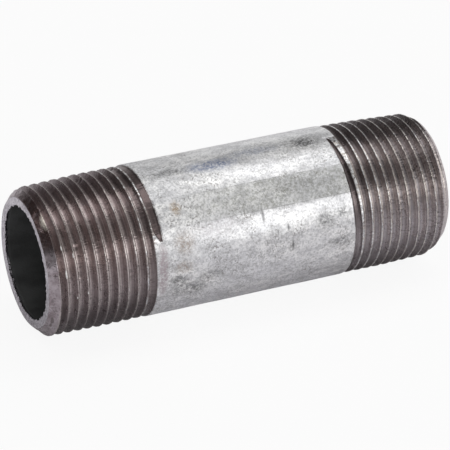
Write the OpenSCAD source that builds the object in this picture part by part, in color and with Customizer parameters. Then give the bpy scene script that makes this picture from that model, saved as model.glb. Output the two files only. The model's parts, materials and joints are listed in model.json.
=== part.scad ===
// Galvanised steel pipe nipple, 3/4-14 NPT by 3 inches long.
//
// A short length of welded steel pipe, hot-dip galvanised inside and out, with a tapered
// right-hand pipe thread cut through the zinc at each end. The bore runs along X, the origin
// is the centre of the bore at half the length, and +Z is up as the nipple lies on its side.
// Units are millimetres and degrees.

/* [Pipe] */
// Outside diameter of the bare steel pipe
pipe_od = 26.67; // [26.4:0.01:26.9]
// Wall thickness of the bare steel pipe, schedule 40
pipe_wall = 2.87; // [2.5:0.01:3]
// Overall length, end face to end face
nipple_length = 76.2; // [60:0.1:152.4]

/* [Pipe thread] */
// Threads per inch
threads_per_inch = 14; // [14:1:14]
// Pitch diameter at the end face
end_pitch_diameter = 24.579; // [24.4:0.001:24.7]
// Taper on the diameter, per unit of length
thread_taper = 0.0625; // [0.055:0.0005:0.065]
// Thread height as a share of the pitch
thread_height_share = 0.76; // [0.72:0.01:0.79]
// Flat on a full crest
crest_flat = 0.12; // [0.06:0.01:0.2]
// Turns of groove at the left end, from the end face to where it stops
left_turns = 11; // [9:0.1:13]
// Turns of groove at the right end, from the end face to where it stops
right_turns = 10.5; // [9:0.1:13]
// Where the left groove stops, clockwise from +Z seen from that end
left_stop_angle = 66; // [0:1:359]
// Where the right groove stops, clockwise from +Z seen from that end
right_stop_angle = 350; // [0:1:359]
// Turns over which the groove gets shallower before it stops
vanish_turns = 3; // [2:0.5:4]
// Depth of the groove just before it stops
stop_depth = 0.18; // [0.1:0.01:0.3]

/* [Ends] */
// Outside radius of the flat end face
face_radius = 11.6; // [11.2:0.05:11.8]
// Angle between the outside chamfer and the pipe's axis
chamfer_angle = 45; // [40:1:60]

/* [Galvanising] */
// Thickness of the zinc, inside and outside
zinc_thickness = 0.075; // [0.05:0.005:0.12]

/* [Hidden] */
$fn = 96;

pitch = 25.4 / threads_per_inch;
thread_height = thread_height_share * pitch;
flank_tan = tan(30);        // 60 degree thread
pipe_r = pipe_od / 2;
bore_r = pipe_r - pipe_wall;
overlap = 1;                // how far one solid runs past or into the next

segments = 40;              // facets in one turn of thread
edges = 4;                  // edges across one groove: mouth, floor, floor, mouth
facet_gap = 0.01;           // keeps the facets just inside the round barrel
plain_r = pipe_r - facet_gap;
lead_in_turns = 2;          // turns of groove made beyond the end face, then trimmed off
stop_turns = 0.1;           // turns in which the groove closes up where it stops
barrel_start = 0.8;         // turns from there to the start of the round barrel
sink_start = 1.5;           // turns from there to where the plug dives into the barrel
sink_depth = 0.5;
plug_tail = 2.5;            // turns from there to the end of the plug

// Radius of the pitch cone at z from the end face
function pitch_r(z) = end_pitch_diameter / 2 + z * thread_taper / 2;

// How far a full crest would stand above the pipe's surface at z
function crest_over(z) = max(0, pitch_r(z) + thread_height / 2 - plain_r);

// Radius of the crest at z, which the pipe's surface cuts off
function crest_r(z) = min(plain_r, pitch_r(z) + thread_height / 2);

// Greatest depth the groove can have, this many turns before it stops
function depth_limit(left) =
    left <= 0 ? 0
    : left < stop_turns ? stop_depth * left / stop_turns
    : stop_depth + (thread_height - stop_depth) * min(1, left / vanish_turns);

// Half the groove's width at the crest, closing to nothing where it stops
function half_mouth(z, left) =
    ((pitch - crest_flat) / 2 - crest_over(z) * flank_tan) * max(0, min(1, left / stop_turns));

// Depth of the groove below its own crest
function groove_depth(z, left) = min(thread_height - crest_over(z), depth_limit(left));

// The groove's four edges at one point of its helix, as [offset along z, radius]
function groove_edges(z, left) =
    let (mouth = half_mouth(z, left),
         depth = groove_depth(z, left),
         floor_half = max(0, mouth - depth * flank_tan),
         top = crest_r(z))
    [[-mouth, top], [-floor_half, top - depth], [floor_half, top - depth], [mouth, top]];

// The same four edges beyond the groove's stop, on the plain pipe and then inside the barrel
function plain_edges(left) =
    let (radius = left < -sink_start ? plain_r - sink_depth : plain_r)
    [for (edge = [0 : edges - 1]) [(edge - (edges - 1) / 2) * pitch / edges, radius]];

// A threaded plug along +Z with its end face at z = 0 and the groove stopping after `turns`
// at stop_angle. Its skin is a grid: columns round the pipe, and the groove's edges repeated
// turn after turn along it, so the last column joins the first one a turn further on.
module threaded_plug(turns, stop_angle) {
    rows = ceil(lead_in_turns + turns + plug_tail);
    lines = rows * edges;
    stop_z = turns * pitch;
    function helix_z(column, row) =
        stop_z + (row - rows + plug_tail + column / segments) * pitch;
    function edge_point(column, row, edge) =
        let (z = helix_z(column, row),
             left = (stop_z - z) / pitch,
             angle = stop_angle - 360 * left,
             shape = (left <= 0 ? plain_edges(left) : groove_edges(z, left))[edge])
        [shape[1] * cos(angle), shape[1] * sin(angle), z + shape[0]];
    points = [for (column = [0 : segments - 1], line = [0 : lines - 1])
        edge_point(column, floor(line / edges), line % edges)];
    hubs = [[0, 0, helix_z(0, 0)], [0, 0, helix_z(0, rows - 1)]];
    low_hub = segments * lines;
    high_hub = low_hub + 1;
    last = segments - 1;
    function at(column, line) = column < segments ? column * lines + line : line + edges;
    skin = [for (column = [0 : last], line = [0 : lines - 2 - (column == last ? edges : 0)])
        each [[at(column, line), at(column, line + 1), at(column + 1, line + 1)],
              [at(column, line), at(column + 1, line + 1), at(column + 1, line)]]];
    low_fan = concat(
        [for (column = [0 : last]) [low_hub, at(column, 0), at(column + 1, 0)]],
        [for (line = [0 : edges - 1]) [low_hub, at(0, line + 1), at(0, line)]]);
    high_fan = concat(
        [for (column = [0 : last - 1])
            [high_hub, at(column + 1, lines - 1), at(column, lines - 1)]],
        [for (line = [lines - 1 - edges : lines - 2])
            [high_hub, at(last, line), at(last, line + 1)]],
        [[high_hub, at(0, lines - 1), at(last, lines - 1 - edges)]]);
    polyhedron(concat(points, hubs), concat(skin, low_fan, high_fan), convexity = 10);
}

// What a plug is trimmed to: the flat end face and its chamfer, with room for the rest
module end_trim(length) {
    outer_r = pipe_r + overlap;
    chamfer_end = (outer_r - face_radius) / tan(chamfer_angle);
    rotate_extrude()
        polygon([[0, 0], [face_radius, 0], [outer_r, chamfer_end], [outer_r, length],
                 [0, length]]);
}

module threaded_end(turns, stop_angle) {
    intersection() {
        threaded_plug(turns, stop_angle);
        end_trim((turns + 2 * plug_tail) * pitch);
    }
}

// Each puts an end's own frame in place, its z pointing inwards and its x pointing up
module at_left() { translate([-nipple_length / 2, 0, 0]) rotate([0, 90, 0]) rotate(180) children(); }
module at_right() { translate([nipple_length / 2, 0, 0]) rotate([0, -90, 0]) children(); }

// A round bar along X that stops short of the end faces by the two gaps
module bar(radius, left_gap = 0, right_gap = 0) {
    translate([left_gap - nipple_length / 2, 0, 0])
        rotate([0, 90, 0])
            cylinder(h = nipple_length - left_gap - right_gap, r = radius);
}

// The pipe itself, one piece of steel with both threads cut into it
module steel_pipe() {
    color("dimgray")
        difference() {
            union() {
                bar(pipe_r, (left_turns + barrel_start) * pitch,
                    (right_turns + barrel_start) * pitch);
                at_left() threaded_end(left_turns, left_stop_angle);
                at_right() threaded_end(right_turns, right_stop_angle);
            }
            bar(bore_r, -overlap, -overlap);
        }
}

// A ring that cuts the zinc back to the edge of the groove's last turn
module last_turn_cut(turns, stop_angle) {
    stop_z = turns * pitch;
    floor_z = stop_z - 2 * pitch;
    last = segments - 1;
    function corner(side, step, z) =
        let (radius = pipe_r + (side == 0 ? -overlap : overlap),
             angle = stop_angle + 360 * step / segments)
        [radius * cos(angle), radius * sin(angle), z];
    function edge_z(step) =
        let (z = stop_z - pitch * (1 - step / segments))
        z + half_mouth(z, stop_turns);
    low_points = [for (step = [0 : last], side = [0, 1]) corner(side, step, floor_z)];
    high_points = [for (step = [0 : segments], side = [0, 1]) corner(side, step, edge_z(step))];
    function low(step, side) = 2 * (step % segments) + side;
    function high(step, side) = 2 * (segments + step) + side;
    walls = [for (step = [0 : last - 1]) each [
        [low(step, 1), high(step, 1), high(step + 1, 1), low(step + 1, 1)],
        [low(step, 0), low(step + 1, 0), high(step + 1, 0), high(step, 0)]]];
    seam = [
        [low(last, 1), high(last, 1), high(segments, 1), high(0, 1), low(0, 1)],
        [low(last, 0), low(0, 0), high(0, 0), high(segments, 0), high(last, 0)],
        [high(0, 0), high(0, 1), high(segments, 1), high(segments, 0)]];
    ends = [for (step = [0 : last]) each [
        [low(step, 0), low(step, 1), low(step + 1, 1), low(step + 1, 0)],
        [high(step, 0), high(step + 1, 0), high(step + 1, 1), high(step, 1)]]];
    polyhedron(concat(low_points, high_points), concat(walls, seam, ends), convexity = 4);
}

// Zinc left on the plain middle of the pipe, between the two threads
module zinc_sleeve() {
    color("gainsboro")
        difference() {
            bar(pipe_r + zinc_thickness, (left_turns - 1) * pitch, (right_turns - 1) * pitch);
            bar(pipe_r);
            at_left() last_turn_cut(left_turns, left_stop_angle);
            at_right() last_turn_cut(right_turns, right_stop_angle);
        }
}

// Zinc on the wall of the bore, from end face to end face
module zinc_bore_lining() {
    color("darkgray")
        difference() {
            bar(bore_r);
            bar(bore_r - zinc_thickness, -overlap, -overlap);
        }
}

steel_pipe();
zinc_sleeve();
zinc_bore_lining();
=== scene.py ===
"""A galvanised 3/4-14 NPT pipe nipple, 3 inches long, lying on a pale floor.

The dark steel shows where the threading die and the saw cut through the zinc: on the two
tapered threads, the chamfers and the end faces. Lengths are in millimetres until a mesh is
made. Angles go round the pipe's axis, from +Z towards -Y.
"""

import json
from math import cos, pi, radians, sin, tan

import bmesh
import bpy
import numpy as np
from mathutils import Matrix, Vector


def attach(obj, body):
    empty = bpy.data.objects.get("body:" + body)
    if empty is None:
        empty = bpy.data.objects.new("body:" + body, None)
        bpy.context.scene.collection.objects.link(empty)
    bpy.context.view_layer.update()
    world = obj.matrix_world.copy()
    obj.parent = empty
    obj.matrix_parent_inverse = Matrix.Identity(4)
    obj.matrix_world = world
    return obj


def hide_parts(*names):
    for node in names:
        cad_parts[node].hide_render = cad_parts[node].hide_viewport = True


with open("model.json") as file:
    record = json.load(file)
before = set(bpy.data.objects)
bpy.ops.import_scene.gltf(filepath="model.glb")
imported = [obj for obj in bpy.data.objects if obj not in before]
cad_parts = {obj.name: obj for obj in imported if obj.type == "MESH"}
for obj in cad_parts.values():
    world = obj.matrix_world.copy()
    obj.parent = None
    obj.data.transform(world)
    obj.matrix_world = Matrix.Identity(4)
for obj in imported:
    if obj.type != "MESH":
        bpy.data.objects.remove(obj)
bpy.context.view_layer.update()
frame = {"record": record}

MM = 0.001

# The pipe and its zinc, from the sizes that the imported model's mounts state
MOUNTS = {mount["name"]: mount["dims"] for mount in frame["record"]["mounts"]}
LENGTH = MOUNTS["bore"]["length_mm"]
LINING_R = MOUNTS["bore"]["r_mm"]
SLEEVE_R = MOUNTS["barrel"]["r_mm"]
ZINC = 0.075
BORE_R = LINING_R + ZINC
PIPE_R = SLEEVE_R - ZINC

# The 60 degree taper pipe thread, with grooves that are rounded and shallower than nominal
PITCH = 25.4 / 14
END_PITCH_R = 24.579 / 2
TAPER = 1 / 32
THREAD_HEIGHT = 0.76 * PITCH
THREAD_LENGTH = 20
CREST_FLAT = 0.14
CREST_ROUNDING = 0.08
CUT_CREST_SHARE = 0.5       # how much a cut-off crest narrows the groove, as a share of nominal
CUT_DEPTH = 0.55 * PITCH
FLANK = tan(radians(30))    # width of the groove's sloping wall, for each mm of its depth
STEEP_FLANK = 0.36          # the same for the steeper wall
WALL_BLEND = 0.1            # rounding where the two walls of a shallow groove meet
ROOT_ROUNDING = 0.55
ROOT_SLOPE = 0.16           # how far the root rises or falls from its middle to either wall
LEAST_MOUTH = 0.1           # least width by which that slope is worked out
VANISH_TURNS = 2.5          # turns over which the groove gets shallower before it stops
SPREAD_FADE = (2.4, 3.4)    # the pressed first crest ends between these distances from the face
LEAN_TURN = -0.08           # direction in which the threads' axes sag, in turns

# The strip along the pipe where its welded seam was trimmed flat, fading out towards the left
SEAM_MIDDLE, SEAM_HALF = radians(46.25), radians(11.25)
SEAM_FLAT = 0.08            # greatest depth of the strip
SEAM_FADE = 17              # length over which it fades out, from the middle of the pipe leftwards
SEAM_END = (19, 21)         # places between which it ends on the right
SEAM_DIRT = (-16, -3)       # places between which its dirt comes in

# Wear on the threads
RIM_WAVE = 0.05             # unevenness of the end face's rim
CHAMFER_ROUGHNESS = 0.03
CHAMFER_START = 0.05        # the chamfer is smooth closer to the face than this
CREST_WEAR = 0.015
CREST_DEPTH = 0.03          # the skin above this depth counts as crest
COAT_RAGGEDNESS = 0.06      # unevenness of the place where the crests begin to hold zinc
COAT_FADE = 0.1
DENTS = 26
DENT_SIZES = (0.12, 0.35)
DENT_STRETCH = 1.6          # how much longer a dent is along the pipe than round it
DENT_DEPTHS = (0.03, 0.14)
DENT_PLACES = (1, 19)       # distances from the end face

# The bore's mouth: (mm from the end face, mm inside the bore's wall, share of the burr added)
BURR_PROFILE = ((LENGTH / 2, 0, 0), (0.75, 0, 0), (0.5, 0, 0.35), (0.28, 0.1, 0.8),
                (0.12, 0.12, 1), (0.03, 0.1, 0.9))
BURR_LIP = (0.06, 0.7)      # the last two values where the mouth meets the end face
BURR_HEIGHT = 0.12
BURR_TEETH = 0.17
BURR_SWELL = 0.08
BURR_LIMITS = (0.02, 0.65)
FACE_ROWS = 9
SAW_DEPTH = 0.02            # how far the sawn face lies inside the pipe's length
SAW_RIPPLE = 0.012
SAW_LIMITS = (0.001, 0.06)

# The zinc's two layers
LUMPS = 0.012               # height of the smooth lumps in both
FINE_LUMPS = 0.004
SLEEVE_STEP = 0.25
SLEEVE_LEAD = 0.1           # how far before its edge the sleeve's rows begin
SLEEVE_SINK = 0.01          # how far the sleeve reaches into the steel at the middle of the pipe
EDGE_SINK = 0.03            # and at its edge
EDGE_RAGGEDNESS = 0.02
EDGE_ROUNDING = 0.03
EDGE_REACH = 0.15           # width over which the edge is rounded
STOP_FADE = 0.02            # turns in which the sleeve comes up to full height past the stop
STOP_SHARE = 0.05           # share of that height right at the stop
LEAST_COAT = 0.004
DEEPEST_HOLLOW = 0.05       # in the zinc of the sleeve
LINING_STEP = 0.6
LINING_START = 0.55         # distance from the end face at which the lining starts
LINING_GAP = 0.002          # between the lining and the steel
HIGHEST_LUMP = 0.03         # in the zinc of the lining

# Mesh density: columns once round, and rows between the six key points across one groove
COLUMNS = 360
GROOVE_SPLITS = (3, 9, 10, 9, 3)
WELD = 0.0015               # points closer than this become one
SLIVER = 0.0005             # edges shorter than this are dissolved


class End:
    """One threaded end. Its own z runs inwards from the end face."""

    def __init__(self, side, turns, stop, closing, blunt, bite, bare, spread, chamfer, gain,
                 lean, seed):
        self.side = side          # -1 for the left end, 1 for the right
        self.turns = turns        # turns of groove, from the end face to where it stops
        self.stop = stop          # where the groove stops, in turns clockwise seen from this end
        self.closing = closing    # turns over which the groove narrows to that stop
        self.blunt = blunt        # share of its width that it still has when it stops
        self.bite = bite          # depth of the groove where it stops
        self.bare = bare          # height cut off a full crest below which it has lost its zinc
        self.spread = spread      # how far the first crest is pressed wide, next to the chamfer
        self.face_r, self.slope = chamfer    # the end face's radius, and the chamfer's rise per mm
        self.gain = gain          # how far the crests stand above their nominal height, at the face
        self.lean = lean          # how far the thread's axis sags at the face, as the die sat crooked
        self.seed = seed

    def opening_share(self, left):
        """Share of its full width that the groove has, this many turns before it stops."""
        share = np.clip(left / self.closing, 0, 1)
        rounded = np.sqrt(1 - (1 - share) ** 2)
        return np.where(left > 0, self.blunt + (1 - self.blunt) * rounded, 0)

    def world_x(self, z):
        """Place along the pipe's X axis of a distance from this end's face."""
        return self.side * (LENGTH / 2 - z)

    def world_turn(self, phi):
        """Angle round the pipe, in turns, of a share of a turn past the stop."""
        return -self.side * (self.stop + phi)


LEFT = End(side=-1, turns=11.07, stop=66 / 360, closing=0.04, blunt=0.0, bite=0.24, bare=0.15,
           spread=0.35, chamfer=(11.6, 1.0), gain=0.1, lean=0.12, seed=11)
RIGHT = End(side=1, turns=10.5, stop=354 / 360, closing=0.35, blunt=0.2, bite=0.5, bare=0.01,
            spread=0.0, chamfer=(11.35, 0.85), gain=-0.12, lean=0.32, seed=29)


def ripple(turn, z, seed, around, along, count=24):
    """Smooth noise of about unit size that closes round the pipe.

    around is the typical number of waves in a turn, and along the waves in a millimetre.
    """
    draw = np.random.default_rng(seed)
    total = 0
    for _ in range(count):
        wave = np.round(draw.normal(0, around)) * turn + draw.normal(0, along) * z
        total = total + np.cos(2 * pi * (wave + draw.uniform()))
    return total / np.sqrt(count / 2)


def smooth_step(value, low, high):
    """0 below low and 1 above high, with a smooth rise between."""
    share = np.clip((value - low) / (high - low), 0, 1)
    return share * share * (3 - 2 * share)


def smooth_least(a, b, blend):
    """The smaller of two values, rounded where they are within blend of each other."""
    share = np.clip(0.5 + (b - a) / 2 / blend, 0, 1)
    return b + (a - b) * share - blend * share * (1 - share)


def stack(rows):
    """Turns rows of several values each into one grid for each value."""
    return [np.array(grid) for grid in zip(*rows)]


def crest_over(z):
    """How far a full crest would stand above the pipe's surface."""
    return np.maximum(0, END_PITCH_R + z * TAPER + THREAD_HEIGHT / 2 - PIPE_R)


def mouth_half(z):
    """Half the groove's width at its crest, where the die has spread it a little."""
    return (PITCH - CREST_FLAT) / 2 - crest_over(z) * FLANK * CUT_CREST_SHARE


def groove_rows(end, phi):
    """Rows of the thread's skin as (z, depth, share of a pitch across), from the end inwards.

    The wall that faces the left end is the thread's flank. The other one is a little steeper.
    """
    near_run, far_run = (STEEP_FLANK, FLANK) if end.side < 0 else (FLANK, STEEP_FLANK)
    for before in range(int(end.turns) + 2, -1, -1):
        left = before - phi
        centre = PITCH * (end.turns - left)
        half = mouth_half(centre)
        inner = half - 2 * half * end.opening_share(left)
        inner = inner + end.spread * (1 - smooth_step(centre, *SPREAD_FADE))
        limit = end.bite + (CUT_DEPTH - end.bite) * np.clip(left / VANISH_TURNS, 0, 1)
        limit = np.minimum(limit, CUT_DEPTH - crest_over(centre))
        wall = np.minimum(limit, (half - inner) / (near_run + far_run))
        edge = np.full_like(left, PITCH / 2)
        keys = [-edge, inner, inner + wall * near_run, half - wall * far_run, half, edge]
        for part, splits in enumerate(GROOVE_SPLITS):
            for step in range(splits):
                offset = keys[part] + (keys[part + 1] - keys[part]) * step / splits
                near_wall = (offset - inner) / near_run
                far_wall = (half - offset) / far_run
                across = (offset - inner) / np.maximum(half - inner, LEAST_MOUTH)
                root = limit - ROOT_SLOPE * (2 * across - 1)
                depth = smooth_least(smooth_least(near_wall, far_wall, WALL_BLEND), root, ROOT_ROUNDING)
                depth = -smooth_least(-depth, 0 * depth, CREST_ROUNDING)
                yield centre + offset, np.maximum(depth, 0), offset / PITCH


def seam_flat(turn, x):
    """How far the pipe's skin lies inside a round one, where its seam was trimmed flat."""
    across = ((2 * pi * turn + pi) % (2 * pi) - pi - SEAM_MIDDLE) / SEAM_HALF
    share = np.clip(1 + x / SEAM_FADE, 0, 1) * (1 - smooth_step(x, *SEAM_END))
    return SEAM_FLAT * np.clip(1 - across ** 2, 0, 1) * share


def dents(end, turn, z):
    """Nicks knocked into the crests, as a depth."""
    draw = np.random.default_rng(end.seed + 7)
    total = 0
    for _ in range(DENTS):
        at_turn = draw.uniform(0, 1)
        at_z = draw.uniform(*DENT_PLACES)
        size = draw.uniform(*DENT_SIZES)
        around = (np.abs(turn - at_turn + 0.5) % 1 - 0.5) * 2 * pi * PIPE_R
        along = (z - at_z) / DENT_STRETCH
        total = total + draw.uniform(*DENT_DEPTHS) * np.exp(-(around / size) ** 2 - (along / size) ** 2)
    return total


def threaded_skin(end):
    """One end's skin, from the end face inwards.

    The grids are z, radius, share of zinc left on the crests, share of the cut's depth, share of
    a pitch across the groove, and 1 on the chamfer.
    """
    phi = np.linspace(0, 1, COLUMNS + 1)
    turn = end.world_turn(phi)
    plain_z = PITCH * (end.turns + 0.5)
    face_r = end.face_r + RIM_WAVE * ripple(turn, 0, end.seed, 5, 0)
    rows = []
    for z, depth, across in groove_rows(end, phi):
        z = np.clip(z, 0, plain_z)
        over = crest_over(z)
        outward = 1 - np.clip(z / THREAD_LENGTH, 0, 1)
        top = END_PITCH_R + z * TAPER + THREAD_HEIGHT / 2 - over + end.gain * outward
        top = top - end.lean * outward * np.cos(2 * pi * (turn - LEAN_TURN))
        top = top - seam_flat(turn, end.world_x(z))
        wear = CREST_WEAR * (1 + ripple(turn, z, end.seed + 1, 30, 0.2)) * (depth < CUT_DEPTH / 2)
        radius = top - depth - wear - dents(end, turn, z)
        rough = CHAMFER_ROUGHNESS * ripple(turn, z, end.seed + 2, 25, 0.5) * (z > CHAMFER_START)
        chamfer = face_r + z * end.slope + rough
        ragged = over + COAT_RAGGEDNESS * ripple(turn, z, end.seed + 3, 40, 0.6)
        coated = smooth_step(ragged, end.bare, end.bare + COAT_FADE)
        coated = coated * (depth < CREST_DEPTH) * (chamfer > radius)
        rows.append((z, np.minimum(radius, chamfer), coated, depth / CUT_DEPTH, across,
                     (chamfer < radius) * 1.0))
    return stack(rows)


def end_face_rows(end, turn):
    """Rows from the middle of the bore, out over the burr and across the flat end face."""
    burr = BURR_HEIGHT + BURR_TEETH * np.abs(ripple(turn, 0, end.seed + 4, 38, 0))
    burr = np.clip(burr + BURR_SWELL * ripple(turn, 0, end.seed + 5, 8, 0), *BURR_LIMITS)
    rows = [(np.full_like(turn, z), BORE_R - inside - share * burr)
            for z, inside, share in BURR_PROFILE]
    inside, burr_share = BURR_LIP
    inner = BORE_R - inside - burr_share * burr
    for step in range(FACE_ROWS):
        share = step / FACE_ROWS
        radius = inner * (1 - share) + end.face_r * share
        relief = SAW_DEPTH + SAW_RIPPLE * ripple(turn, radius, end.seed + 6, 14, 1.5)
        rows.append((np.clip(relief, *SAW_LIMITS) * (1 - share), radius))
    return rows


def make_piece(name, grids, labels=()):
    """One closed mesh from the two ends' grids, each given as (x, turn, radius, values).

    Each label names one of the values, which becomes an attribute of the mesh's points.
    """
    mesh = bpy.data.meshes.new(name)
    points, faces, start = [], [], 0
    for x, turn, radius, _ in grids:
        rows, columns = x.shape
        place = np.stack([x, -radius * np.sin(2 * pi * turn), radius * np.cos(2 * pi * turn)], -1)
        points.append(place.reshape(-1, 3) * MM)
        corner = start + np.arange(rows * columns).reshape(rows, columns)
        faces.append(np.stack([corner[:-1, :-1], corner[:-1, 1:], corner[1:, 1:],
                               corner[1:, :-1]], -1).reshape(-1, 4))
        start += rows * columns
    mesh.from_pydata(np.concatenate(points), [], np.concatenate(faces))
    for index, label in enumerate(labels):
        data = np.concatenate([values[index].reshape(-1) for _, _, _, values in grids])
        attribute = mesh.attributes.new(label, "FLOAT", "POINT")
        attribute.data.foreach_set("value", data.astype(np.float32))
    return finish_piece(name, mesh)


def finish_piece(name, mesh):
    """Welds the seams, closes any gap, turns every face outwards and shades it smooth."""
    build = bmesh.new()
    build.from_mesh(mesh)
    bmesh.ops.remove_doubles(build, verts=build.verts, dist=WELD * MM)
    bmesh.ops.dissolve_degenerate(build, edges=build.edges, dist=SLIVER * MM)
    open_edges = [edge for edge in build.edges if edge.is_boundary]
    if open_edges:
        bmesh.ops.holes_fill(build, edges=open_edges)
    bmesh.ops.recalc_face_normals(build, faces=build.faces)
    for face in build.faces:
        face.smooth = True
    build.to_mesh(mesh)
    build.free()
    piece = bpy.data.objects.new(name, mesh)
    bpy.context.scene.collection.objects.link(piece)
    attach(piece, "root")
    return piece


def build_pipe():
    """The steel: bore, end faces, chamfers and threads, in one closed mesh."""
    labels = ("coated", "depth", "helix_cos", "helix_sin", "chamfer", "face")
    face_values = (0, 0, 0, 0, 0, 1)
    grids = []
    phi = np.linspace(0, 1, COLUMNS + 1)
    for end in (LEFT, RIGHT):
        turn = end.world_turn(phi)
        face_z, face_r = stack(end_face_rows(end, turn))
        skin_z, skin_r, coated, depth, across, chamfer = threaded_skin(end)
        middle_z = np.full((1, COLUMNS + 1), LENGTH / 2)
        middle_r = PIPE_R - seam_flat(turn, 0)[np.newaxis]
        z = np.concatenate([face_z, skin_z, middle_z])
        radius = np.concatenate([face_r, skin_r, middle_r])
        angle = 2 * pi * across
        skin_values = (coated, depth, np.cos(angle), end.side * np.sin(angle), chamfer, 0 * skin_z)
        values = [np.concatenate([np.full_like(face_z, on_face), on_skin, 0 * middle_z])
                  for on_face, on_skin in zip(face_values, skin_values)]
        grids.append((end.world_x(z), np.broadcast_to(turn, z.shape), radius, values))
    return make_piece("steel_pipe_body", grids, labels)


def build_sleeve():
    """The zinc on the plain middle, cut back by the last turn of each groove."""
    grids = []
    phi = np.linspace(0, 1, COLUMNS + 1)
    for end in (LEFT, RIGHT):
        turn = end.world_turn(phi)
        last_turn = PITCH * (end.turns - 1 + phi)
        edge = last_turn + mouth_half(last_turn)
        edge = edge + EDGE_RAGGEDNESS * ripple(turn, 0, end.seed + 8, 30, 0)
        after_stop = edge[-1]
        rows = [(np.full_like(phi, LENGTH / 2), PIPE_R - SLEEVE_SINK - seam_flat(turn, 0)),
                (edge, PIPE_R - EDGE_SINK - seam_flat(turn, end.world_x(edge)))]
        steps = np.arange(edge.min() - SLEEVE_LEAD, LENGTH / 2, SLEEVE_STEP)
        for step in np.append(steps, LENGTH / 2):
            z = np.maximum(step, edge)
            x = end.world_x(z)
            lumps = LUMPS * (1 + ripple(turn, x, 5, 7, 0.08))
            lumps = lumps + FINE_LUMPS * (1 + ripple(turn, x, 6, 40, 0.5))
            rounding = EDGE_ROUNDING * np.exp(-(z - edge) / EDGE_REACH)
            fade = smooth_step(phi, 0, STOP_FADE) + (z > after_stop)
            coat = ZINC - np.clip(lumps, 0, DEEPEST_HOLLOW) - rounding
            coat = np.maximum(coat * np.clip(fade, STOP_SHARE, 1), LEAST_COAT)
            rows.append((z, PIPE_R + coat - seam_flat(turn, x)))
        z, radius = stack(rows)
        grids.append((end.world_x(z), np.broadcast_to(turn, z.shape), radius, []))
    return make_piece("zinc_sleeve_coat", grids)


def build_lining():
    """The zinc on the wall of the bore, a little lumpy, between the two burrs."""
    grids = []
    phi = np.linspace(0, 1, COLUMNS + 1)
    flat = np.ones_like(phi)
    for end in (LEFT, RIGHT):
        turn = end.world_turn(phi)
        rows = [(flat * z, flat * (BORE_R - LINING_GAP)) for z in (LENGTH / 2, LINING_START)]
        for step in np.append(np.arange(LINING_START, LENGTH / 2, LINING_STEP), LENGTH / 2):
            lumps = LUMPS * ripple(turn, end.world_x(step), 8, 12, 0.12)
            rows.append((flat * step, LINING_R + np.clip(lumps, -HIGHEST_LUMP, HIGHEST_LUMP)))
        z, radius = stack(rows)
        grids.append((end.world_x(z), np.broadcast_to(turn, z.shape), radius, []))
    return make_piece("zinc_bore_coat", grids)


class Nodes:
    """Adds nodes to one tree. A method returns its last node's output, if it says nothing else."""

    def __init__(self, tree):
        self.tree = tree

    def node(self, kind, **settings):
        """A new node itself, with these settings."""
        made = self.tree.nodes.new(kind)
        for name, value in settings.items():
            setattr(made, name, value)
        return made

    def feed(self, socket, value):
        """Gives a socket a value or another node's output. Returns nothing."""
        if isinstance(value, bpy.types.NodeSocket):
            self.tree.links.new(value, socket)
        else:
            socket.default_value = value

    def math(self, operation, a, b=0.0):
        made = self.node("ShaderNodeMath", operation=operation)
        self.feed(made.inputs[0], a)
        self.feed(made.inputs[1], b)
        return made.outputs[0]

    def times(self, first, *others):
        """The product of two or more values."""
        for other in others:
            first = self.math("MULTIPLY", first, other)
        return first

    def vector(self, operation, a, b=(0, 0, 0), scale=1.0):
        made = self.node("ShaderNodeVectorMath", operation=operation)
        self.feed(made.inputs[0], a)
        if operation == "SCALE":
            self.feed(made.inputs["Scale"], scale)
        else:
            self.feed(made.inputs[1], b)
        return made.outputs["Vector"]

    def axis(self, name, place):
        split = self.node("ShaderNodeSeparateXYZ")
        self.feed(split.inputs[0], place)
        return split.outputs[name]

    def remap(self, value, low, high, to_low=0.0, to_high=1.0):
        """A smooth step from to_low at low to to_high at high."""
        made = self.node("ShaderNodeMapRange", interpolation_type="SMOOTHSTEP")
        for socket, given in zip(("Value", "From Min", "From Max", "To Min", "To Max"),
                                 (value, low, high, to_low, to_high)):
            self.feed(made.inputs[socket], given)
        return made.outputs["Result"]

    def mix(self, share, a, b):
        """A colour that is a where share is 0 and b where it is 1."""
        made = self.node("ShaderNodeMix", data_type="RGBA")
        self.feed(made.inputs["Factor"], share)
        for socket, colour in zip(("A", "B"), (a, b)):
            target = [item for item in made.inputs if item.name == socket and item.type == "RGBA"][0]
            self.feed(target, colour if isinstance(colour, bpy.types.NodeSocket) else (*colour, 1))
        return [item for item in made.outputs if item.type == "RGBA"][0]


# How far to either side of the middle the left half's looks change to the right half's
HALVES_BLEND = 1


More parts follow.
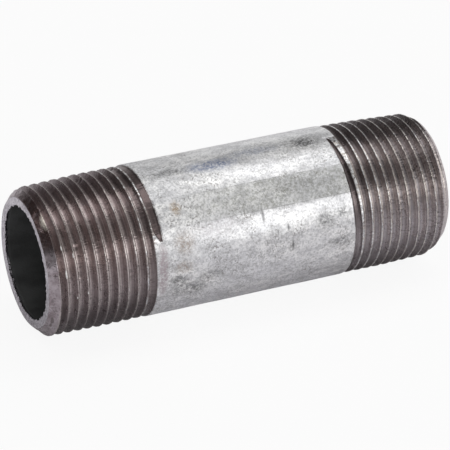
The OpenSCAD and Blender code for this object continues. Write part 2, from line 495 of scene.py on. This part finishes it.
class Shader(Nodes):
    """The nodes of one new material, measured in millimetres and radians."""

    def __init__(self, name):
        self.material = bpy.data.materials.new(name)
        self.material.use_nodes = True
        super().__init__(self.material.node_tree)
        self.surface = self.tree.nodes["Principled BSDF"]
        place = self.node("ShaderNodeTexCoord").outputs["Object"]
        self.place = self.vector("SCALE", place, scale=1 / MM)

    def along(self):
        """Place along the pipe, from the middle."""
        return self.axis("X", self.place)

    def from_middle(self):
        """Distance along the pipe from its middle, to either side."""
        return self.math("ABSOLUTE", self.along())

    def height(self):
        """Height above the pipe's axis."""
        return self.axis("Z", self.place)

    def around(self):
        """Angle round the pipe."""
        return self.math("ARCTAN2", self.math("MULTIPLY", self.axis("Y", self.place), -1.0),
                         self.height())

    def by_end(self, left, right):
        """One number or colour on the left half of the pipe and another one on the right half."""
        if isinstance(left, float):
            return self.remap(self.along(), -HALVES_BLEND, HALVES_BLEND, left, right)
        return self.mix(self.remap(self.along(), -HALVES_BLEND, HALVES_BLEND), left, right)

    def near(self, along, degrees, half_length, half_width, radius=SLEEVE_R):
        """1 at a place on the metal, falling to 0 at the edge of an oval round it."""
        turn = radians(degrees)
        place = (along, -radius * sin(turn), radius * cos(turn))
        gap = self.vector("SUBTRACT", self.place, place)
        gap = self.vector("MULTIPLY", gap, (1 / half_length, 1 / half_width, 1 / half_width))
        return self.remap(self.length(gap), 1.0, 0.2)

    def length(self, a):
        made = self.node("ShaderNodeVectorMath", operation="LENGTH")
        self.feed(made.inputs[0], a)
        return made.outputs["Value"]

    def attribute(self, name):
        return self.node("ShaderNodeAttribute", attribute_name=name).outputs["Fac"]

    def noise(self, size, detail=3.0, rough=0.55, stretch=(1, 1, 1), place=None, offset=0.0):
        """Noise of 0 to 1 whose features are about size millimetres wide."""
        where = self.vector("MULTIPLY", place or self.place, [part / size for part in stretch])
        where = self.vector("ADD", where, (offset, offset * 1.7, offset * 2.3))
        made = self.node("ShaderNodeTexNoise")
        self.feed(made.inputs["Vector"], where)
        self.feed(made.inputs["Scale"], 1.0)
        self.feed(made.inputs["Detail"], detail)
        self.feed(made.inputs["Roughness"], rough)
        return made.outputs["Fac"]

    def bump(self, height, depth, below=None):
        """Bump whose full height is depth millimetres, on top of the bump below it."""
        made = self.node("ShaderNodeBump")
        self.feed(made.inputs["Strength"], 1.0)
        self.feed(made.inputs["Distance"], depth * MM)
        self.feed(made.inputs["Height"], height)
        if below is not None:
            self.feed(made.inputs["Normal"], below)
        return made.outputs["Normal"]

    def finish(self, **inputs):
        """Feeds the surface's inputs, each named in lower case, and returns the material."""
        for name, value in inputs.items():
            label = name.replace("_", " ").title().replace("Ior", "IOR")
            self.feed(self.surface.inputs[label], value)
        return self.material


# Marks on the zinc: (mm along, degrees round, half length and half width in mm, colour, strength)
BLUE_GREY, DARK_GREY = (0.2, 0.24, 0.36), (0.12, 0.12, 0.12)
BROWN, RUST, SCRAPED = (0.36, 0.26, 0.16), (0.26, 0.2, 0.155), (0.42, 0.37, 0.385)
PATCHES = [(-4.2, 11.5, 7.0, 2.1, BLUE_GREY, 1.0), (-12, 11, 4.5, 1.5, DARK_GREY, 0.75),
           (4, 5, 7.0, 1.6, BLUE_GREY, 0.5), (14, 6, 5.0, 2.8, DARK_GREY, 1.0),
           (-13.8, 43, 1.3, 2.0, BROWN, 0.9), (-13.5, 70, 2.6, 3.0, RUST, 0.7),
           (-14, 88, 2.4, 1.7, RUST, 0.7), (-17.6, 80, 1.2, 4.0, SCRAPED, 1.0),
           (-17.9, 96, 1.2, 5.0, SCRAPED, 1.0), (-17.8, 88, 1.1, 6.0, SCRAPED, 1.0),
           (-13, 108, 5.0, 2.6, DARK_GREY, 0.75), (-9, 99, 3.5, 1.8, DARK_GREY, 0.6),
           (-15, 98, 2.4, 1.5, DARK_GREY, 0.7), (-7, 63, 8.0, 2.2, SCRAPED, 0.25),
           (13, 75, 2.8, 2.6, DARK_GREY, 0.8), (16.7, 71, 2.2, 1.5, DARK_GREY, 0.8),
           (15.5, 94, 4.0, 1.5, DARK_GREY, 0.7), (6.4, 90, 1.0, 1.6, DARK_GREY, 0.7)]

# Short dark scratches on the zinc, and painted glints on the left thread's crests, in the same way
# but without a colour and a strength of their own
TICKS = [(1.5, 61, 0.42, 2.2), (3.9, 76, 0.2, 0.8), (5.9, 74, 0.3, 1.1), (6.6, 88, 0.3, 1.6)]
TICK_STRENGTH = 0.7
NICK_GLINTS = [(-35.3, 75, 0.18, 1.2), (-35.4, 55, 0.13, 0.7), (-31.6, 82, 0.13, 0.4),
         (-29.7, 77, 0.12, 0.45), (-31.6, 93, 0.14, 0.5), (-33.6, 62, 0.1, 0.7),
         (-27.9, 86, 0.1, 0.3), (-33.5, 96, 0.1, 0.4)]
# The radius and colour of the painted glints
GLINT_R = PIPE_R - 0.3
GLINT_COLOUR = (1.0, 0.99, 0.97)

# The colours of the zinc: of its clouds, and then of what lies over them
ZINC_CLOUDS = (0.71, 0.71, 0.725), (0.86, 0.855, 0.85)
MOTTLE, DARK_GRAIN, PALE_GRAIN = (0.48, 0.48, 0.495), (0.32, 0.32, 0.325), (0.95, 0.95, 0.94)
WORM_TRACK, SPECK = (0.27, 0.265, 0.26), (0.22, 0.21, 0.2)
SEAM_TINT, SEAM_GRIME, SEAM_LINE = (0.5, 0.51, 0.46), (0.25, 0.25, 0.21), (0.25, 0.25, 0.24)

# The colours of the steel. Pairs are the darkest and palest parts of a cloud, except that the
# first of the painted shade above and of the shoulders' colour is for the left end and the second for the
# right one.
LEFT_STEEL = (0.235, 0.183, 0.177), (0.345, 0.283, 0.28)
RIGHT_STEEL = (0.175, 0.157, 0.163), (0.29, 0.267, 0.274)
DARK_LINE, PALE_LINE = (0.17, 0.135, 0.135), (0.66, 0.6, 0.59)
# Painted shade on the threads' top, for the left end and the right one
PAINTED_SHADE_ABOVE = (0.108, 0.073, 0.079), (0.098, 0.08, 0.083)
# Painted shade below, the colour of the torn last turns, and painted light low on the sides
PAINTED_SHADE_BELOW, TORN, PAINTED_LIGHT_SIDE = (0.115, 0.097, 0.1), (0.12, 0.095, 0.093), (0.62, 0.585, 0.61)
# Burnished shoulders, partly a painted highlight
SHOULDER_BURNISH_AND_HIGHLIGHT = (0.62, 0.56, 0.54), (0.76, 0.675, 0.625)
WORN_CREST = (0.66, 0.625, 0.58)
SAWN_FACE = (0.38, 0.355, 0.39), (0.62, 0.59, 0.63)
LEFT_CHAMFER = (0.29, 0.245, 0.26), (0.44, 0.39, 0.415)
RIGHT_CHAMFER = (0.5, 0.45, 0.45)
# A darker colour for the top of the left chamfer, and the colour of its painted highlight
CHAMFER_DARK_TOP, CHAMFER_PAINTED_HIGHLIGHT = (0.115, 0.076, 0.073), (0.98, 0.9, 0.8)
CHATTER = (0.1, 0.085, 0.085)

# The bore's colours, painted shade deep in the hole, and the floor's colours
BORE_SHADE_CLOUDS = (0.05, 0.051, 0.051), (0.085, 0.087, 0.087)
FLOOR_CLOUDS = (0.88, 0.88, 0.88), (0.92, 0.92, 0.92)
FLOOR_GLOW, FLOOR_REFLECTED = (0.99, 0.99, 0.99, 1), (0.95, 0.935, 0.96, 1)
GLOW_SHARE = 0.92

# How far past a crest, towards +X, its bright shoulder lies, with 360 degrees to a pitch. The
# shoulder is partly burnished and partly a painted highlight.
SHOULDER = radians(75)

# Distances from the pipe's middle: where the shoulders' burnish and painted highlight come in,
# and where the die has torn the last turns
SHINE_START = (19.3, 20.3)
TORN_TURNS = (25, 19)


def zinc_colour(shader):
    """Mottled grey-white of weathered zinc: cloudy, with fine dark worm tracks and specks."""
    cloud = shader.noise(6.0, stretch=(0.5, 1, 1))
    mottle = shader.noise(1.3, detail=4, rough=0.7, stretch=(0.6, 1, 1), offset=3)
    grain = shader.noise(0.36, detail=3, rough=0.75, offset=9)
    colour = shader.mix(shader.remap(cloud, 0.35, 0.65), *ZINC_CLOUDS)
    colour = shader.mix(shader.remap(mottle, 0.4, 0.62, 0, 0.65), colour, MOTTLE)
    colour = shader.mix(shader.remap(grain, 0.5, 0.62, 0, 0.6), colour, DARK_GRAIN)
    colour = shader.mix(shader.remap(grain, 0.44, 0.3, 0, 0.6), colour, PALE_GRAIN)
    crowd = shader.remap(shader.noise(4.0, detail=3, offset=30), 0.42, 0.62)
    wander = shader.math("SUBTRACT", shader.noise(0.9, detail=2, offset=15), 0.5)
    track = shader.remap(shader.math("ABSOLUTE", wander), 0.05, 0.0, 0, 0.5)
    colour = shader.mix(shader.times(track, crowd), colour, WORM_TRACK)
    specks = shader.remap(shader.noise(0.5, detail=1, offset=21), 0.6, 0.7)
    return shader.mix(shader.times(specks, crowd, 0.75), colour, SPECK)


def marked_zinc(shader):
    """The zinc's colour with its larger stains and scratches."""
    colour = zinc_colour(shader)
    blots = shader.remap(shader.noise(0.5, detail=4, rough=0.8, offset=40), 0.42, 0.58, 0.15, 1.0)
    for along, degrees, half_length, half_width, tint, strength in PATCHES:
        patch = shader.near(along, degrees, half_length, half_width)
        colour = shader.mix(shader.times(patch, blots, strength), colour, tint)
    for tick in TICKS:
        colour = shader.mix(shader.times(shader.near(*tick), TICK_STRENGTH), colour, DARK_GREY)
    return colour


def seamed_zinc(shader, colour):
    """A zinc colour with the flat strip along the seam: a little grimy, and lined at its edges."""
    across = shader.math("DIVIDE", shader.math("SUBTRACT", shader.around(), SEAM_MIDDLE), SEAM_HALF)
    flat = shader.math("SUBTRACT", 1.0, shader.times(across, across))
    ends = shader.times(shader.remap(shader.along(), *SEAM_DIRT),
                        shader.remap(shader.along(), *reversed(SEAM_END)))
    seam = shader.times(shader.remap(flat, 0.0, 0.15), ends)
    colour = shader.mix(shader.times(seam, 0.12), colour, SEAM_TINT)
    grime = shader.remap(shader.noise(0.6, detail=4, rough=0.7, offset=44), 0.48, 0.62)
    colour = shader.mix(shader.times(grime, seam, 0.5), colour, SEAM_GRIME)
    line = shader.remap(shader.math("ABSOLUTE", flat), 0.07, 0.01)
    broken = shader.remap(shader.noise(2.2, offset=47), 0.4, 0.55, 0.3, 0.9)
    return shader.mix(shader.times(line, ends, broken), colour, SEAM_LINE)


def zinc_material():
    """Weathered hot-dip zinc, rougher towards the left end, gently lumpy and gritty."""
    shader = Shader("galvanised_zinc")
    colour = seamed_zinc(shader, marked_zinc(shader))
    patches = shader.noise(4.0, detail=4, stretch=(0.4, 1, 1), offset=50)
    rough_left = shader.remap(shader.along(), 0, -16, 0.0, 0.2)
    roughness = shader.math("ADD", shader.remap(patches, 0.38, 0.64, 0.28, 0.42), rough_left)
    swell = shader.noise(4.0, detail=2, stretch=(0.35, 1, 1), offset=70)
    lumps = shader.noise(1.6, detail=3, rough=0.6, stretch=(0.5, 1, 1), offset=65)
    grit = shader.noise(0.38, detail=4, rough=0.75, offset=60)
    normal = shader.bump(swell, 0.05)
    normal = shader.bump(lumps, 0.03, normal)
    normal = shader.bump(grit, 0.011, normal)
    return shader.finish(base_color=colour, metallic=0.9, roughness=roughness, normal=normal)


def die_lines(shader):
    """Noise drawn out into fine lines along the grooves, which drift slowly round the pipe."""
    helix = shader.node("ShaderNodeCombineXYZ")
    shader.feed(helix.inputs[0], shader.attribute("helix_cos"))
    shader.feed(helix.inputs[1], shader.attribute("helix_sin"))
    lane = shader.vector("ADD", helix.outputs[0], shader.vector("SCALE", shader.place, scale=0.035))
    return shader.noise(0.8, detail=3, rough=0.7, place=lane, offset=2)


def groove_colour(shader, lines):
    """Steel in the grooves: browner on the left, with painted shade above and below, and the die's lines.
    """
    cloud = shader.remap(shader.noise(3.2, detail=4, rough=0.6, offset=5), 0.35, 0.65)
    tone = shader.by_end(shader.mix(cloud, *LEFT_STEEL), shader.mix(cloud, *RIGHT_STEEL))
    tone = shader.mix(shader.remap(lines, 0.5, 0.62, 0, 0.6), tone, DARK_LINE)
    tone = shader.mix(shader.remap(lines, 0.46, 0.36, 0, 0.5), tone, PALE_LINE)
    shade_colour = shader.by_end(*PAINTED_SHADE_ABOVE)
    # Painted shade: darker towards the top of the threads, and most over the top and upper back
    tone = shader.mix(shader.remap(shader.height(), 7, 12.5, 0, 0.4), tone, shade_colour)
    shade_above = shader.times(shader.remap(shader.around(), radians(16), radians(-8), 0, 0.75),
                         shader.remap(shader.height(), 2, 8))
    tone = shader.mix(shade_above, tone, shade_colour)
    # Painted shade: darker towards the bottom, more on the left end
    below = shader.times(shader.remap(shader.height(), 6, -9), shader.by_end(0.8, 0.5))
    return shader.mix(below, tone, PAINTED_SHADE_BELOW)


def thread_colour(shader, lines):
    """The threads' steel, with shoulders burnished and brightened by a painted highlight, painted light low
    on the sides, torn last turns and worn crests.
    """
    tone = groove_colour(shader, lines)
    past_crest = shader.math("ADD", shader.times(shader.attribute("helix_cos"), -cos(SHOULDER)),
                             shader.times(shader.attribute("helix_sin"), sin(SHOULDER)))
    # Partly burnish, partly a painted highlight: paler steel on the +X side of each crest
    burnish_and_highlight = shader.times(shader.remap(past_crest, 0.0, 0.9), shader.by_end(0.6, 0.88),
                            shader.remap(shader.from_middle(), *SHINE_START))
    tone = shader.mix(burnish_and_highlight, tone, shader.by_end(*SHOULDER_BURNISH_AND_HIGHLIGHT))
    off_shoulder = shader.math("SUBTRACT", 1.0, shader.times(burnish_and_highlight, 0.6))
    torn = shader.times(shader.remap(shader.from_middle(), *TORN_TURNS), shader.by_end(0.68, 0.75),
                        off_shoulder)
    tone = shader.mix(torn, tone, TORN)
    # Painted light: paler steel low on the threads' sides, more on the right end
    painted_light = shader.times(shader.remap(shader.height(), 5, -2), shader.remap(shader.height(), -11, -6),
                        shader.remap(shader.along(), 10, 26, 0.1, 0.35))
    tone = shader.mix(painted_light, tone, PAINTED_LIGHT_SIDE)
    broken = shader.remap(shader.noise(1.8, detail=4, rough=0.75, offset=24), 0.38, 0.6, 0.15, 1.0)
    worn = shader.times(shader.remap(shader.attribute("depth"), 0.08, 0.01), broken,
                        shader.remap(shader.along(), -22, 22, 0.35, 0.9))
    return shader.mix(worn, tone, WORN_CREST)


def chamfer_colour(shader):
    """The turned chamfers. The left one is darker over its top and upper front, with one painted highlight.
    """
    turned = shader.noise(1.5, detail=3, rough=0.5, stretch=(0.6, 1, 1), offset=33)
    cone = shader.by_end(shader.mix(shader.remap(turned, 0.36, 0.64), *LEFT_CHAMFER), RIGHT_CHAMFER)
    cloud = shader.noise(1.2, detail=4, rough=0.7, offset=18)
    # Darker over the top and upper front of the left chamfer
    dark_top = shader.times(shader.remap(shader.around(), radians(62), radians(48)),
                         shader.remap(shader.around(), radians(-20), radians(6), 0.3, 1.0),
                         shader.remap(cloud, 0.35, 0.55, 0.55, 1.0), shader.by_end(1.0, 0.0))
    cone = shader.mix(dark_top, cone, CHAMFER_DARK_TOP)
    # Painted highlight: one bright spot on the left chamfer
    painted_highlight = shader.near(-36.65, 31.5, 1.0, 2.2, radius=12.9)
    return shader.mix(painted_highlight, cone, CHAMFER_PAINTED_HIGHLIGHT)


def steel_material():
    """Dark cut steel, brighter where the crests are worn, with the lines the die left."""
    shader = Shader("cut_steel")
    lines = die_lines(shader)
    sawn = shader.noise(0.8, detail=4, rough=0.7, offset=8)
    on_face = shader.attribute("face")
    colour = shader.mix(shader.attribute("chamfer"), thread_colour(shader, lines),
                        chamfer_colour(shader))
    colour = shader.mix(on_face, colour, shader.mix(shader.remap(sawn, 0.38, 0.62), *SAWN_FACE))
    metallic = 1.0
    # Painted glints: white, non-metallic spots on the left thread's crests
    for glint_place in NICK_GLINTS:
        glint = shader.remap(shader.near(*glint_place, radius=GLINT_R), 0.2, 0.8)
        colour = shader.mix(glint, colour, GLINT_COLOUR)
        metallic = shader.math("SUBTRACT", metallic, glint)
    flecks = shader.remap(shader.noise(0.5, detail=2, offset=26), 0.38, 0.5)
    colour = shader.mix(shader.times(shader.attribute("coated"), flecks), colour, zinc_colour(shader))

    chatter = shader.noise(0.32, detail=1, rough=0.5, stretch=(0.2, 1, 1), offset=12)
    upper_right = shader.times(shader.remap(shader.along(), 27, 32), shader.remap(shader.height(), 4, 8))
    chattered = shader.math("ADD", shader.remap(shader.noise(3.0, offset=14), 0.4, 0.6, 0.25, 1.0),
                            upper_right)
    colour = shader.mix(shader.times(shader.remap(chatter, 0.52, 0.64, 0, 0.5), chattered), colour, CHATTER)
    normal = shader.bump(shader.times(chatter, chattered), 0.05)
    normal = shader.bump(lines, 0.05, normal)
    normal = shader.bump(shader.times(sawn, on_face), 0.03, normal)
    roughness = shader.remap(shader.noise(1.4, detail=3, offset=16), 0.35, 0.65, 0.25, 0.34)
    lathe = shader.node("ShaderNodeTangent", direction_type="RADIAL", axis="X").outputs["Tangent"]
    return shader.finish(base_color=colour, metallic=metallic, roughness=roughness, normal=normal,
                         anisotropic=0.75, anisotropic_rotation=0.25, tangent=lathe)


def bore_material():
    """Dull zinc, coloured almost black as painted shade, so that the bore reads as a deep hole."""
    shader = Shader("bore_zinc")
    cloud = shader.noise(3.0, detail=4, stretch=(0.4, 1, 1))
    # Painted shade: the bore's zinc is coloured almost black
    colour = shader.mix(shader.remap(cloud, 0.3, 0.7), *BORE_SHADE_CLOUDS)
    normal = shader.bump(shader.noise(0.6, detail=4, rough=0.7, offset=4), 0.06)
    roughness = shader.remap(cloud, 0.3, 0.7, 0.6, 0.8)
    return shader.finish(base_color=colour, metallic=0.0, roughness=roughness, normal=normal,
                         specular_ior_level=0.15)


def floor_material():
    """A pale floor: almost white to the camera, and lit like any matt floor in reflections."""
    shader = Shader("pale_floor")
    glow = shader.node("ShaderNodeEmission")
    shader.feed(glow.inputs["Color"], FLOOR_GLOW)
    matt = shader.node("ShaderNodeBsdfDiffuse")
    shader.feed(matt.inputs["Color"], shader.mix(shader.noise(60.0), *FLOOR_CLOUDS))
    seen = shader.node("ShaderNodeMixShader")
    shader.feed(seen.inputs["Fac"], GLOW_SHARE)
    shader.feed(seen.inputs[1], matt.outputs[0])
    shader.feed(seen.inputs[2], glow.outputs[0])
    either = shader.node("ShaderNodeMixShader")
    shader.feed(either.inputs["Fac"], shader.node("ShaderNodeLightPath").outputs["Is Camera Ray"])
    shader.feed(either.inputs[1], shader.surface.outputs[0])
    shader.feed(either.inputs[2], seen.outputs[0])
    shader.feed(shader.tree.nodes["Material Output"].inputs["Surface"], either.outputs[0])
    return shader.finish(base_color=FLOOR_REFLECTED, roughness=0.9)


def build_floor():
    """A round floor of 4 m radius that the zinc sleeve rests on."""
    bpy.ops.mesh.primitive_circle_add(vertices=64, radius=4, fill_type="NGON",
                                      location=(0, 0, -SLEEVE_R * MM))
    floor = bpy.context.object
    floor.name = "studio_floor"
    floor.data.materials.append(floor_material())


def softbox(name, turn, reach, width, power, length=3600, along=900):
    """A long soft light facing the pipe's axis, reach millimetres from it, at an angle round it.

    Its middle is along millimetres towards the right end. The camera doesn't see it.
    """
    light = bpy.data.lights.new(name, "AREA")
    light.shape = "RECTANGLE"
    light.size, light.size_y = length * MM, width * MM
    light.energy = power
    outward = Vector((0, -sin(2 * pi * turn), cos(2 * pi * turn)))
    side = Vector((1, 0, 0))
    lamp = bpy.data.objects.new(name, light)
    lamp.location = (side * along + outward * reach) * MM
    lamp.rotation_mode = "QUATERNION"
    axes = (side, outward.cross(side), outward)
    lamp.rotation_quaternion = Matrix(axes).transposed().to_quaternion()
    lamp.visible_camera = False
    bpy.context.scene.collection.objects.link(lamp)


def build_lights():
    softbox("top_softbox", turn=-7 / 360, reach=700, width=430, power=5.85)
    softbox("front_softbox", turn=70 / 360, reach=800, width=330, power=3.5)
    bpy.context.scene.view_settings.view_transform = "Standard"


def build_world():
    """Soft surroundings: pale in front and low down, darker above, behind and to the left."""
    world = bpy.data.worlds.new("studio")
    world.use_nodes = True
    sky = Nodes(world.node_tree)
    towards = sky.node("ShaderNodeTexCoord").outputs["Generated"]
    along, across, up = (sky.axis(name, towards) for name in "XYZ")
    side = sky.remap(along, -0.5, 0.3, 0.18, 1.0)
    depth = sky.remap(across, -0.5, 0.6, 0.66, 0.44)
    horizon = sky.remap(up, 0.0, 0.7, 0.6, 0.0)
    strength = sky.times(side, sky.math("ADD", depth, horizon))
    sky.feed(sky.tree.nodes["Background"].inputs["Strength"], strength)
    sky.feed(sky.tree.nodes["Background"].inputs["Color"], (1, 1, 1, 1))
    bpy.context.scene.world = world


def build_camera():
    """Above and to the left of the near end, with a long lens aimed just beside the centre."""
    azimuth, elevation, distance = radians(-24.08), radians(27.87), 532.6
    aim_right, aim_up = -0.37, -0.755
    back = Vector((sin(azimuth) * cos(elevation), -cos(azimuth) * cos(elevation), sin(elevation)))
    right = Vector((cos(azimuth), sin(azimuth), 0))
    target = right * aim_right + back.cross(right) * aim_up
    data = bpy.data.cameras.new("camera")
    data.sensor_width = 36
    data.lens = 241.3
    data.clip_start, data.clip_end = 0.01, 100
    camera = bpy.data.objects.new("camera", data)
    camera.location = (target + back * distance) * MM
    camera.rotation_mode = "QUATERNION"
    camera.rotation_quaternion = back.to_track_quat("Z", "Y")
    bpy.context.scene.collection.objects.link(camera)
    bpy.context.scene.camera = camera


def show(piece, material, node):
    """Gives a piece its material and lets it stand for a CAD node."""
    piece.data.materials.append(material)
    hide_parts(node)


def main():
    show(build_pipe(), steel_material(), "steel_pipe")
    show(build_sleeve(), zinc_material(), "zinc_sleeve")
    show(build_lining(), bore_material(), "zinc_bore_lining")
    build_floor()
    build_lights()
    build_world()
    build_camera()


main()
